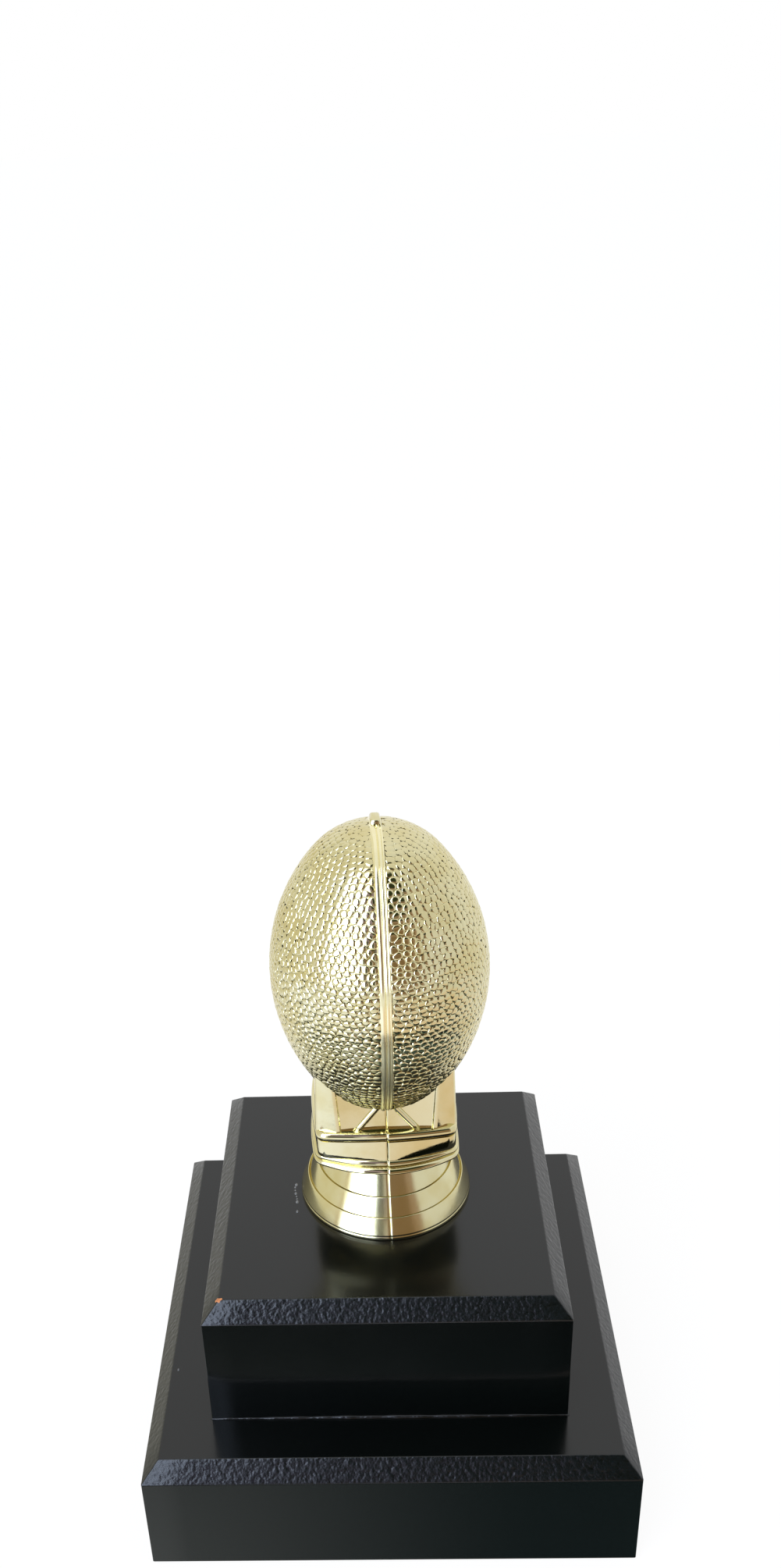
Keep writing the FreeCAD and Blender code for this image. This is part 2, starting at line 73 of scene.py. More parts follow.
class Side(Enum):
    """Which moulded half of the figure a surface belongs to."""

    LEFT = -1
    RIGHT = 1


# Each half's outline at one level, and that outline with its height.
Halves = dict[Side, list[Corner]]
Ring = tuple[float, Halves]


# ---- shader graph

@dataclass(frozen=True)
class Sock:
    """A node's output socket that can be used in Python expressions."""

    graph: "Graph"
    socket: bpy.types.NodeSocket

    def _math(self, operation: str, *values: Link) -> "Sock":
        """Adds one Math node."""
        return self.graph.add("Math", {"operation": operation}, dict(enumerate(values)))

    def __add__(self, other: Link) -> "Sock":
        """Sum."""
        return self._math("ADD", self, other)

    __radd__ = __add__

    def __sub__(self, other: Link) -> "Sock":
        """Difference."""
        return self._math("SUBTRACT", self, other)

    def __rsub__(self, other: Link) -> "Sock":
        """Difference with the number first."""
        return self._math("SUBTRACT", other, self)

    def __mul__(self, other: Link) -> "Sock":
        """Product."""
        return self._math("MULTIPLY", self, other)

    __rmul__ = __mul__

    def __abs__(self) -> "Sock":
        """Absolute value."""
        return self._math("ABSOLUTE", self)

    def most(self, other: Link) -> "Sock":
        """The larger of two values."""
        return self._math("MAXIMUM", self, other)

    def rise(self, low: float, high: float) -> "Sock":
        """A smooth step from 0 at low to 1 at high."""
        settings = {"interpolation_type": "SMOOTHSTEP"}
        return self.graph.add("MapRange", settings, {0: self, 1: low, 2: high})

    def inside(self, low: float, high: float, soft: float) -> "Sock":
        """1 between low and high, with soft edges."""
        return self.rise(low - soft, low + soft) * (1 - self.rise(high - soft, high + soft))


class Graph:
    """Builds one node tree out of generic nodes."""

    def __init__(self, tree: bpy.types.NodeTree) -> None:
        """Starts from an empty tree."""
        self.tree = tree
        tree.nodes.clear()

    def node(self, kind: str, settings: dict, values: dict) -> bpy.types.Node:
        """Adds a node of any type.

        Args:
            kind: The node's type without its prefix.
            settings: The node's own settings.
            values: A value or link for each input, by name or index.

        Returns:
            The new node.
        """
        made = self.tree.nodes.new("ShaderNode" + kind)
        for name, value in settings.items():
            setattr(made, name, value)
        for name, value in values.items():
            if isinstance(value, Sock):
                self.tree.links.new(value.socket, made.inputs[name])
            else:
                made.inputs[name].default_value = value
        return made

    def add(self, kind: str, settings: dict | None = None, values: dict | None = None,
            output: str | int = 0) -> Sock:
        """Adds a node and returns one of its outputs."""
        made = self.node(kind, settings or {}, values or {})
        return Sock(self, made.outputs[output])

    def mix(self, factor: Link, first: Link, second: Link) -> Sock:
        """Mixes two colours."""
        values = {"Factor": factor, 6: self.colour(first), 7: self.colour(second)}
        return self.add("Mix", {"data_type": "RGBA"}, values, output=2)

    def colour(self, value: Link) -> Link:
        """A plain colour gains its alpha; a link is left as it is."""
        return value if isinstance(value, Sock) else (*value, 1.0)

    def place(self) -> Sock:
        """The object's own coordinates, in millimetres."""
        where = self.add("TexCoord", output="Object")
        return self.add("VectorMath", {"operation": "MULTIPLY"}, {0: where, 1: (1 / MM,) * 3})

    def parts(self, vector: Sock) -> tuple[Sock, Sock, Sock]:
        """The three numbers of a vector."""
        made = self.node("SeparateXYZ", {}, {0: vector})
        return tuple(Sock(self, made.outputs[index]) for index in range(3))

    def noise(self, where: Sock, scale: float, detail: float = 2, rough: float = 0.5) -> Sock:
        """A cloud of values between 0 and 1."""
        values = {"Vector": where, "Scale": scale, "Detail": detail, "Roughness": rough}
        return self.add("TexNoise", {}, values)

    def bump(self, height: Sock, distance: float) -> Sock:
        """A bumped normal; distance is in metres."""
        return self.add("Bump", {}, {"Height": height, "Distance": distance})

    def finish(self, surface: Sock) -> None:
        """Sends a shader to the material's output."""
        self.node("OutputMaterial", {}, {"Surface": surface})


def new_graph(name: str) -> tuple[Finish, Graph]:
    """Makes a material and the graph that fills it."""
    material = bpy.data.materials.new(name)
    material.use_nodes = True
    return material, Graph(material.node_tree)


# ---- finishes

@dataclass(frozen=True)
class GoldPlating:
    """Thin bright metal over moulded plastic, tinted pale gold."""

    name: str = "pale_gold_plating"
    tint: Triple = (0.72, 0.665, 0.40)
    deep: Triple = (0.68, 0.60, 0.31)
    roughness: float = 0.05
    waviness: float = 0.00002
    worn_below: float = 0.0
    wear: float = 0.3

    def make(self) -> Finish:
        """Builds the material."""
        material, graph = new_graph(self.name)
        where = graph.place()
        cloud = graph.noise(where, 0.11, 3)
        fine = graph.noise(where, 1.3, 3)
        tone = graph.mix(cloud.rise(0.35, 0.7), self.tint, self.deep)
        rough = self.roughness + 0.04 * cloud.rise(0.45, 0.75) + 0.03 * fine
        if self.worn_below:
            level = graph.parts(where)[2]
            rough = rough + self.wear * level.rise(self.worn_below + 3, self.worn_below - 9)
        ripple = graph.bump(graph.noise(where, 0.35, 2), self.waviness)
        graph.finish(graph.add("BsdfPrincipled", {}, {
            "Base Color": tone, "Metallic": 1.0, "Roughness": rough, "Normal": ripple}))
        return material


@dataclass(frozen=True)
class BlackPaint:
    """Satin black paint, smooth on flat faces and dry over the sawn grain of the bevels."""

    name: str = "black_paint"
    smooth: float = 0.1
    dry: float = 0.1
    relief: float = 0.00016
    film: Triple = (0.0012, 0.0018, 0.0016)
    dust: Triple = (0.004, 0.006, 0.007)

    def make(self) -> Finish:
        """Builds the material."""
        material, graph = new_graph(self.name)
        where = graph.place()
        slope = graph.parts(graph.add("NewGeometry", output="True Normal"))[2]
        bevel = slope.inside(0.5, 0.9, 0.08)
        level = slope.rise(0.9, 0.97)
        grain = graph.noise(where, 0.75, 1.5, 0.5)
        cloud = graph.noise(where, 0.05, 3)
        speckle = graph.noise(where, 1.1, 3, 0.7).rise(0.56, 0.66)
        bare = bevel * (0.35 + 0.65 * speckle) * grain.rise(0.35, 0.65)
        tone = graph.mix(bare * 0.8, self.film, self.dust)
        rough = self.smooth + 0.05 * cloud + level * 0.05 + bevel * self.dry * (1 - speckle)
        height = grain * (0.04 + bevel * 0.95)
        graph.finish(graph.add("BsdfPrincipled", {}, {
            "Base Color": tone, "Roughness": rough, "Normal": graph.bump(height, self.relief)}))
        return material


@dataclass(frozen=True)
class PlainFinish:
    """A finish that needs one cloud of colour and one of roughness."""

    name: str
    light: Triple
    dark: Triple
    roughness: float
    metallic: float = 0.0
    grain: float = 1.5
    relief: float = 0.00005

    def make(self) -> Finish:
        """Builds the material."""
        material, graph = new_graph(self.name)
        where = graph.place()
        cloud = graph.noise(where, self.grain, 4, 0.6)
        tone = graph.mix(cloud.rise(0.3, 0.7), self.light, self.dark)
        graph.finish(graph.add("BsdfPrincipled", {}, {
            "Base Color": tone, "Metallic": self.metallic,
            "Roughness": self.roughness + 0.12 * cloud,
            "Normal": graph.bump(cloud, self.relief)}))
        return material


# ---- mesh helpers

@dataclass
class Surface:
    """Points and faces gathered for one mesh."""

    points: list[Vector] = field(default_factory=list)
    faces: list[tuple[int, ...]] = field(default_factory=list)

    def add_row(self, row: Iterable[Vector]) -> list[int]:
        """Adds points and returns their numbers."""
        start = len(self.points)
        self.points.extend(row)
        return list(range(start, len(self.points)))

    def add_grid(self, rows: Sequence[Sequence[Vector]], loop: bool = False,
                 flip: bool = False) -> list[list[int]]:
        """Skins rows of points that have the same count.

        Args:
            rows: The rows, from first to last.
            loop: Whether each row closes on itself.
            flip: Whether the faces turn the other way.

        Returns:
            The numbers of the points, row by row.
        """
        numbers = [self.add_row(row) for row in rows]
        for low, high in zip(numbers, numbers[1:]):
            pairs = list(zip(low, low[1:])) + ([(low[-1], low[0])] if loop else [])
            tops = list(zip(high, high[1:])) + ([(high[-1], high[0])] if loop else [])
            for (a, b), (d, c) in zip(pairs, tops):
                self.faces.append((d, c, b, a) if flip else (a, b, c, d))
        return numbers

    def add_cap(self, loop: Sequence[int], flip: bool = False) -> None:
        """Closes a loop of points with one face."""
        self.faces.append(tuple(reversed(loop)) if flip else tuple(loop))

    def add_solid(self, rows: Sequence[Sequence[Vector]], loop: bool = False,
                  flip: bool = False) -> None:
        """Skins rows of points as add_grid does, and closes the first and the last."""
        numbers = self.add_grid(rows, loop, flip)
        self.add_cap(numbers[0], not flip)
        self.add_cap(numbers[-1], flip)

    def build(self, name: str, smooth_angle: float | None = None) -> Piece:
        """Makes the object.

        Args:
            name: The piece's name.
            smooth_angle: Edges sharper than this many degrees stay crisp; None smooths all.

        Returns:
            The new object, linked into the scene.
        """
        mesh = bpy.data.meshes.new(name)
        mesh.from_pydata([tuple(p) for p in self.points], [], self.faces)
        mesh.validate()
        mesh.polygons.foreach_set("use_smooth", [True] * len(mesh.polygons))
        if smooth_angle is not None:
            mesh.set_sharp_from_angle(angle=math.radians(smooth_angle))
        mesh.update()
        piece = bpy.data.objects.new(name, mesh)
        bpy.context.scene.collection.objects.link(piece)
        return piece


def dress(piece: Piece, material: Finish,
          replaced: Sequence[str] = ()) -> None:
    """Gives a piece its finish and the body it rides on.

    Args:
        piece: The new piece.
        material: Its finish.
        replaced: CAD nodes that it stands for.
    """
    piece.data.materials.clear()
    piece.data.materials.append(material)
    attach(piece, BODY)
    for node in replaced:
        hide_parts(node)
    LOG.info("%s: %d faces", piece.name, len(piece.data.polygons))


def blend(a: float, b: float, share: float) -> float:
    """A value part of the way from a to b."""
    return a + (b - a) * share


def spread(first: float, last: float, count: int) -> list[float]:
    """Evenly spaced values from first to last, both included."""
    return [blend(first, last, index / (count - 1)) for index in range(count)]


@dataclass(frozen=True)
class FigureFrame:
    """Where the figure stands: its axis on the base, its turn and the height of its foot."""

    axis: Corner = (0.5, 1.6)
    turn: float = 3.0

    def world(self) -> Matrix:
        """From the figure's millimetres to the part's metres."""
        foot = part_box("upper_tier")[1].z
        shift = Matrix.Translation((self.axis[0] * MM, self.axis[1] * MM, foot))
        return shift @ Matrix.Rotation(math.radians(self.turn), 4, "Z") @ Matrix.Scale(MM, 4)

    def settle(self, piece: Piece) -> Piece:
        """Moves a piece made in the figure's millimetres to where it stands."""
        piece.data.transform(self.world())
        piece.data.update()
        return piece


@dataclass(frozen=True)
class PartingSeam:
    """The line where the two moulded halves meet: each half's edge rolls in towards it."""

    steps: tuple[float, ...] = (0.0, 0.1, 0.2, 0.32, 0.5, 0.75, 1.1)
    width: float = 0.45
    depth: float = 0.22

    def dip(self, across: float) -> float:
        """How far the surface is let in at a distance from the seam."""
        share = min(1.0, abs(across) / self.width)
        return self.depth * (1 - share) ** 2


# ---- football

@dataclass(frozen=True)
class OvalProfile:
    """The football's long outline: tip arcs on the axis, tangent to belly arcs."""

    radius: float = 30.4
    centre: float = 78.0
    top: float = 43.4
    bottom: float = 43.8
    top_tip: float = 23.2
    bottom_tip: float = 24.3
    samples: int = 1441

    def at(self, lean: float) -> tuple[float, float, float, float]:
        """A point where the outward normal leans up by an angle in radians.

        Returns:
            Distance from the axis, height, and the normal's outward and upward parts.
        """
        length, tip = (self.top, self.top_tip) if lean >= 0 else (self.bottom, self.bottom_tip)
        rise = length - tip
        belly = (self.radius ** 2 + rise ** 2 - tip ** 2) / (2 * (self.radius - tip))
        change = math.atan2(rise, belly - self.radius)
        out, up = math.cos(lean), math.sin(lean)
        if abs(lean) <= change:
            return self.radius - belly + belly * out, self.centre + belly * up, out, up
        return tip * out, self.centre + math.copysign(rise, lean) + tip * up, out, up

    def stations(self, pitch: float) -> list[float]:
        """Leans evenly spaced along the outline, from the bottom tip to the top tip."""
        fine = spread(-math.pi / 2, math.pi / 2, self.samples)
        marks, length, last = [], 0.0, None
        for lean in fine:
            out, high, _, _ = self.at(lean)
            if last is not None:
                length += math.hypot(out - last[0], high - last[1])
            marks.append((length, lean))
            last = (out, high)
        count = round(length / pitch)
        found, index = [], 0
        for number in range(count + 1):
            want = length * number / count
            while index < len(marks) - 1 and marks[index][0] < want:
                index += 1
            found.append(marks[index][1])
        return found


@dataclass
class Football:
    """The upright football: pebbled skin, plain seam band, gate stub and laces."""

    place: FigureFrame
    profile: OvalProfile = field(default_factory=OvalProfile)
    turns: int = 96
    rows: int = 64
    pitch: float = 2.05
    jitter: float = 0.13
    gap: float = -0.02
    sink: float = 0.12
    relief: float = 0.22
    corners: int = 12
    # A pebble's rings, outermost first: share of its reach, share of its height, and pit depth
    # where three pebbles meet.
    rings: tuple[Triple, ...] = (
        (1.0, 0.4, 1.7), (0.9, 0.64, 0.9), (0.76, 0.82, 0.3), (0.52, 0.94, 0.0), (0.26, 0.99, 0.0))
    dome_radius: float = 30.0
    edge_clear: float = 1.55
    column_reach: Corner = (18.5, 15.2)
    column_top: float = 56.0
    seed: int = 11
    lace_count: int = 8
    lace_length: float = 34.0
    lace_width: float = 9.0
    lace_thickness: float = 1.8
    lace_relief: float = 1.0
    gate_half: float = 1.45
    gate_front: float = 0.6
    gate_back: float = 4.8

    def point(self, lean: float, azimuth: float) -> Spot:
        """A point of the skin with its level tangent, rising tangent and normal."""
        out, high, n_out, n_up = self.profile.at(lean)
        way = Vector((math.sin(azimuth), -math.cos(azimuth), 0))
        level = Vector((math.cos(azimuth), math.sin(azimuth), 0))
        normal = way * n_out + Vector((0, 0, n_up))
        rising = normal.cross(level) * -1
        return way * out + Vector((0, 0, high)), level, rising, normal

    def make_core(self) -> Piece:
        """The smooth skin under the pebbles."""
        surface = Surface()
        rows = []
        for lean in spread(-math.pi / 2, math.pi / 2, self.rows)[1:-1]:
            spots = [self.point(lean, math.tau * k / self.turns) for k in range(self.turns)]
            rows.append([spot - normal * self.sink for spot, _, _, normal in spots])
        surface.add_solid(rows, loop=True)
        return self.place.settle(surface.build("football_core"))

    def buried(self, spot: Vector) -> bool:
        """Whether a pebble would lie inside the column."""
        reach_x, reach_y = self.column_reach
        return abs(spot.x) < reach_x and abs(spot.y) < reach_y and spot.z < self.column_top

    def pebble_spots(self) -> list[Spot]:
        """Centres of the pebbles, in staggered rows that are slightly uneven."""
        draw = random.Random(self.seed)
        spots = []
        start = 0.0
        for lean in self.profile.stations(self.pitch * math.sqrt(3) / 2):
            ring = self.profile.at(lean)[0]
            count = max(1, round(math.tau * ring / self.pitch))
            start += math.pi / count
            for number in range(count):
                wobble = draw.gauss(0, self.jitter) * self.pitch / max(ring, 1.0)
                azimuth = start + math.tau * number / count + wobble
                tilt = lean + draw.gauss(0, self.jitter) * self.pitch / 40
                tilt = max(-math.pi / 2, min(math.pi / 2, tilt))
                spot = self.point(tilt, azimuth)
                if not self.buried(spot[0]) and abs(spot[0].x) > self.edge_clear + 0.3:
                    spots.append(spot)
        return spots

    def outline(self, index: int, spots: Sequence[Spot], tree: KDTree) -> list[Corner]:
        """How far one pebble reaches each way, and how near that is to a junction of three."""
        spot, level, rising, _ = spots[index]
        walls = []
        for other, number, _ in tree.find_range(spot, self.pitch * 2.1):
            if number == index:
                continue
            delta = Vector(other) - spot
            flat = (delta.dot(level), delta.dot(rising))
            size = math.hypot(*flat)
            walls.append((flat[0] / size, flat[1] / size, size / 2 - self.gap))
        inward = -math.copysign(1, spot.x)
        seam = (level.x * inward, rising.x * inward)
        size = math.hypot(*seam)
        if size > 0.2:
            room = (abs(spot.x) - self.edge_clear) / size
            if room < self.pitch:
                walls.append((seam[0] / size, seam[1] / size, room))
        reach = []
        for corner in range(self.corners):
            angle = math.tau * corner / self.corners
            c, s = math.cos(angle), math.sin(angle)
            near = sorted((c * wx + s * wy) / max(far, 0.2) for wx, wy, far in walls)[-2:]
            total = sum(max(0.0, value) ** 9 for value in near)
            far = min(self.pitch * 0.75, total ** (-1 / 9)) if total else self.pitch * 0.6
            junction = max(0.0, near[0] / near[1] - 0.72) / 0.28 if near[-1] > 0.05 else 0.0
            reach.append((far, min(1.0, junction)))
        return reach

    def make_pebbles(self) -> Piece:
        """The raised grain: one low dome to each pebble."""
        draw = random.Random(self.seed + 1)
        spots = self.pebble_spots()
        tree = KDTree(len(spots))
        for number, spot in enumerate(spots):
            tree.insert(spot[0], number)
        tree.balance()
        surface = Surface()
        for index, (spot, level, rising, normal) in enumerate(spots):
            reach = self.outline(index, spots, tree)
            fade = 1 - 0.6 * max(0.0, normal.z - 0.72) / 0.28
            height = self.relief * fade * draw.uniform(0.85, 1.1)
            rows = []
            for share, rise, pit in self.rings:
                row = []
                for corner, (far, junction) in enumerate(reach):
                    angle = math.tau * corner / self.corners
                    u, v = far * share * math.cos(angle), far * share * math.sin(angle)
                    sink = (u * u + v * v) / (2 * self.dome_radius)
                    row.append(spot + level * u + rising * v
                               + normal * (height * (rise - pit * junction) - sink))
                rows.append(row)
            last = surface.add_grid(rows, loop=True)[-1]
            top = surface.add_row([spot + normal * height])[0]
            surface.faces += [(a, b, top) for a, b in zip(last, last[1:] + last[:1])]
        return self.place.settle(surface.build("football_pebbles"))

    def make_band(self) -> Piece:
        """The plain raised band round the seam, with the parting line down its middle."""
        across = ((-1.75, -0.1), (-1.5, 0.08), (-1.35, 0.28), (-1.1, 0.42), (-0.75, 0.48),
                  (-0.4, 0.42), (-0.2, 0.32), (-0.08, 0.18), (0.0, 0.0), (0.08, 0.12), (0.2, 0.26),
                  (0.5, 0.38), (0.8, 0.32), (0.98, 0.12), (1.06, 0.1), (1.15, 0.26), (1.32, 0.38),
                  (1.5, 0.24), (1.65, 0.08), (1.8, -0.1))
        surface = Surface()
        leans = spread(math.radians(-58), math.pi / 2, 70)
        path = [(lean, 1) for lean in leans] + [(lean, -1) for lean in reversed(leans[:-1])]
        rows = []
        for lean, face in path:
            out, high, n_out, n_up = self.profile.at(lean)
            bend = max(out / max(n_out, 1e-3), 20.0) if n_out > 1e-3 else self.profile.top_tip
            normal = Vector((0, -face * n_out, n_up))
            foot = Vector((0, -face * out, high))
            rows.append([foot + Vector((x, 0, 0)) + normal * (h - x * x / (2 * bend))
                         for x, h in across])
        surface.add_grid(rows, flip=True)
        return self.place.settle(surface.build("seam_band"))

    def make_gate(self) -> Piece:
        """The stub left at the tip where the plastic entered the mould."""
        tip = self.profile.centre + self.profile.top
        surface = Surface()
        rows = []
        levels = ((0.0, -2.0), (0.0, 0.9), (0.12, 1.3), (0.3, 1.5), (0.6, 1.6))
        for inset, high in levels:
            lean = 0.18 * max(high, 0)
            x = self.gate_half - inset - lean * 0.5
            front, back, cut = -self.gate_front + inset + lean, self.gate_back - inset, 0.3
            rows.append([Vector((across, along, tip + high)) for across, along in (
                (-x, front + cut), (-x + cut, front), (x - cut, front), (x, front + cut),
                (x, back - cut), (x - cut, back), (-x + cut, back), (-x, back - cut))])
        surface.add_solid(rows, loop=True)
        return self.place.settle(surface.build("gate_stub", CRISP_STUB))

    def make_laces(self) -> Piece:
        """Rounded lace bars across the seam at the back."""
        surface = Surface()
        gap = (self.lace_length - self.lace_thickness) / (self.lace_count - 1)
        low = self.profile.centre - self.lace_length / 2 + self.lace_thickness / 2
        belly = self.profile.radius
        for number in range(self.lace_count):
            centre = low + gap * number
            lean = (centre - self.profile.centre) / 55.0
            rows = []
            for share in spread(-1, 1, 17):
                x = share * self.lace_width / 2
                end = math.sqrt(max(0.0, 1 - abs(share) ** 6))
                row = []
                for step in range(10):
                    angle = math.tau * step / 10
                    lift = math.sin(angle) * self.lace_relief * 0.95 * end
                    rise = math.cos(angle) * self.lace_thickness / 2 * end
                    out, high, n_out, n_up = self.profile.at(lean)
                    y = math.sqrt(max(0.0, (out + n_out * lift) ** 2 - x * x))
                    row.append(Vector((x, y, high + rise + n_up * lift)))
                rows.append(row)
            surface.add_solid(rows, loop=True)
        return self.place.settle(surface.build("laces"))

    def build(self, gold: Finish) -> None:
        """Makes and dresses the football's pieces."""
        # The band's plating is tinted paler all over than the rest: a painted sheen for the white
        # reflections on its glossy upper part. Below worn_below it is also rougher, where the
        # plating is scuffed.
        worn_sheen_gold = GoldPlating("sheen_tinted_worn_gold_plating", tint=(0.92, 0.86, 0.56), deep=(0.88, 0.8, 0.48),
                           worn_below=157.0).make()
        for make, finish in ((self.make_core, gold), (self.make_pebbles, gold),
                             (self.make_band, worn_sheen_gold), (self.make_gate, gold),
                             (self.make_laces, gold)):
            dress(make(), finish)


# ---- riser, collar and column

@dataclass(frozen=True)
class Section:
    """A level section of the collar: a box whose sides bow out and meet in small round corners."""

    half: float
    depth: float
    bow: float
    corner: float = 4.0
    side_bow: float = 110.0

    def quarter(self, inset: float, seam: PartingSeam) -> list[Corner]:
        """Points from the front seam round to the middle of the side."""
        half, depth = self.half - inset, self.depth - inset
        bow, side_bow = self.bow - inset, self.side_bow - inset
        small = max(0.6, self.corner - inset)
        kx, ky = half - side_bow, depth - bow
        gap = math.hypot(kx, ky)
        side_reach, reach = side_bow - small, bow - small
        along = (side_reach ** 2 - reach ** 2 + gap ** 2) / (2 * gap)
        away = math.sqrt(side_reach ** 2 - along ** 2)
        ux, uy = -kx / gap, ky / gap
        cx, cy = max(((kx + along * ux - turn * away * uy, along * uy + turn * away * ux)
                      for turn in (1, -1)), key=sum)
        side_end, end_start = math.atan2(cy, cx - kx), math.atan2(cy - ky, cx)
        edge = bow * math.cos(end_start)
        points = []
        for x in (*seam.steps, *spread(seam.steps[-1], edge, 10)[1:-1]):
            y = ky + math.sqrt(bow * bow - x * x)
            points.append((x, -(y - seam.dip(x))))
        for angle in spread(end_start, side_end, 10):
            points.append((cx + small * math.cos(angle), -(cy + small * math.sin(angle))))
        for angle in spread(side_end, 0, 8)[1:]:
            points.append((kx + side_bow * math.cos(angle), -side_bow * math.sin(angle)))
        return points


def whole_turn(quarter: Sequence[Corner]) -> Halves:
    """Each half's outline, from the front seam round its side to the back seam."""
    right = list(quarter) + [(x, -y) for x, y in reversed(quarter[:-1])]
    return {Side.RIGHT: right, Side.LEFT: [(-x, y) for x, y in right]}


def rounded(corners: Sequence[Corner], radii: Sequence[float], steps: int = 5) -> list[Corner]:
    """An open outline with its inner corners rounded, always with the same count of points."""
    points = [corners[0]]
    for before, here, after, radius in zip(corners, corners[1:], corners[2:], radii):
        spot = Vector(here)
        to_a, to_b = Vector(before) - spot, Vector(after) - spot
        half = to_a.angle(to_b) / 2
        back = min(radius / math.tan(half), to_a.length * 0.45, to_b.length * 0.45)
        size = back * math.tan(half)
        to_a.normalize()
        to_b.normalize()
        middle = spot + (to_a + to_b).normalized() * size / math.sin(half)
        start, end = spot + to_a * back, spot + to_b * back
        for share in spread(0, 1, steps):
            ray = start.lerp(end, share) - middle
            points.append(tuple(middle + ray.normalized() * size))
    return points + [corners[-1]]


@dataclass
class Pedestal:
    """What carries the football: round riser, beaded collar and eight-sided column."""

    place: FigureFrame
    seam: PartingSeam = field(default_factory=PartingSeam)
    rim: Corner = (25.6, 1.2)
    low_ring: Corner = (23.3, 6.4)
    high_ring: Corner = (20.3, 11.6)
    ledge: float = 0.5
    neck: float = 16.6
    foot_height: float = 20.4
    foot_bead: float = 1.7
    waist_bead: float = 1.9
    band_height: float = 6.2
    lip_bead: float = 2.9
    foot: Section = Section(21.8, 21.0, 35, 5)
    middle: Section = Section(21.8, 20.0, 41.5, 5)
    waist_foot: Section = Section(21.5, 19.5, 41.5)
    waist_top: Section = Section(21.5, 19.0, 48)
    band_foot: Section = Section(20.9, 18.5, 48)
    band_top: Section = Section(20.9, 18.2, 125, 3.2)
    lip: Section = Section(21.2, 18.4, 125, 3.2)
    column_half: float = 20.2
    column_depth: float = 16.5
    column_height: float = 23.5
    column_draft: float = 0.7
    facet_depth: float = 1.9
    panel_half: float = 14.3
    panel_flare: float = 1.6
    panel_frame: float = 1.4
    panel_recess: float = 0.5
    rib_width: float = 2.0
    rib_relief: float = 0.7
    rib_apex: float = 44.4
    rib_spread: float = 8.8
    mismatch: float = 0.3

    @property
    def column_foot(self) -> float:
        """The height of the lip's top, where the column starts."""
        return (self.foot_height + self.foot_bead + self.waist_bead + self.band_height
                + self.lip_bead)

    def ring(self, radius: float) -> Halves:
        """Both halves of a circle, with narrow columns of points near the seam."""
        points = []
        for x in self.seam.steps:
            points.append((x, -(math.sqrt(radius ** 2 - x * x) - self.seam.dip(x))))
        start = math.asin(self.seam.steps[-1] / radius)
        for angle in spread(start, math.pi / 2, 26)[1:]:
            points.append((radius * math.sin(angle), -radius * math.cos(angle)))
        return whole_turn(points)

    def skin(self, name: str, rings: Sequence[Ring], drop: float = 0.0) -> Piece:
        """Makes a piece of two halves, skinned through level rings and closed at both ends.

        Args:
            name: The piece's name.
            rings: Height and outline of each ring, from the lowest up.
            drop: How far the right half sits below the left one.

        Returns:
            The piece, where it stands.
        """
        surface = Surface()
        for side in Side:
            sunk = drop if side is Side.RIGHT else 0.0
            surface.add_solid([[Vector((x, y, height - sunk)) for x, y in halves[side]]
                               for height, halves in rings], flip=side is Side.LEFT)
        return self.place.settle(surface.build(name, CRISP_MOULDING))

    def make_riser(self) -> Piece:
        """Three flared tiers, each let in from the one below, with softened edges."""
        (rim, rim_top), (low, low_top), (high, high_top) = self.rim, self.low_ring, self.high_ring
        profile = [(rim - 0.25, 0.0), (rim, 0.25), (rim, rim_top - 0.25), (rim - 0.2, rim_top)]
        tiers = [((rim, rim_top), (low, low_top)), ((low - self.ledge, low_top), (high, high_top)),
                 ((high - self.ledge, high_top), (self.neck, self.foot_height))]
        for (r0, z0), (r1, z1) in tiers:
            for share in (0.04, 0.12, 0.3, 0.5, 0.7, 0.88, 0.96, 1.0):
                swell = 0.015 * math.sin(math.pi * share)
                roll = 0.05 * max(0.0, (share - 0.88) / 0.12) ** 2
                profile.append((blend(r0, r1, share) + swell - roll, blend(z0, z1, share) + swell))
            # The groove behind the tier's upper edge, from which the next one rises.
            profile += [(r1 - 0.14, z1), (r1 - 0.34, z1 - 0.45), (r1 - self.ledge + 0.04, z1 - 0.1)]
        return self.skin("riser", [(z, self.ring(r)) for r, z in profile[:-3]])

    def bead_rows(self, foot: float, height: float, low: Section, high: Section,
                  roll: float) -> list[Ring]:
        """Rings of one moulding whose face bulges out; roll is how far its edges draw in."""
        rows = []
        for share in (0.0, 0.06, 0.2, 0.38, 0.5, 0.62, 0.8, 0.94, 1.0):
            inset = roll * abs(2 * share - 1) ** 3.2
            mixed = Section(*(blend(getattr(low, name), getattr(high, name), share)
                              for name in ("half", "depth", "bow", "corner")))
            rows.append((foot + height * share, whole_turn(mixed.quarter(inset, self.seam))))
        return rows

    def band_section(self, share: float, side: Side) -> Section:
        """The plain band part of the way up; its left half flattens out sooner than the right."""
        early, lean = (8.0, 0.2) if side is Side.LEFT else (2.2, 0.0)
        bow = 1 - (1 - share) ** early
        depth = blend(self.band_foot.depth + lean / 2, self.band_top.depth - lean, share)
        return Section(self.band_foot.half, depth,
                       blend(self.band_foot.bow, self.band_top.bow, bow),
                       blend(self.band_foot.corner, self.band_top.corner, bow))

    def make_collar(self) -> Piece:
        """Two beads, a plain band and the lip under the column."""
        waist = self.foot_height + self.foot_bead
        band = waist + self.waist_bead
        lip = band + self.band_height
        rows = self.bead_rows(self.foot_height, self.foot_bead, self.foot, self.middle, 0.55)
        rows += self.bead_rows(waist, self.waist_bead, self.waist_foot, self.waist_top, 0.6)
        for share in (0.0, 0.06, 0.13, 0.22, 0.35, 0.5, 0.65, 0.8, 0.92, 1.0):
            rows.append((band + self.band_height * share, {
                side: whole_turn(self.band_section(share, side).quarter(0.0, self.seam))[side]
                for side in Side}))
        rows += self.bead_rows(lip, self.lip_bead, self.lip, self.lip, 0.7)
        rows.append((self.column_foot + 0.05, whole_turn(self.lip.quarter(2.4, self.seam))))
        return self.skin("collar", rows, self.mismatch)

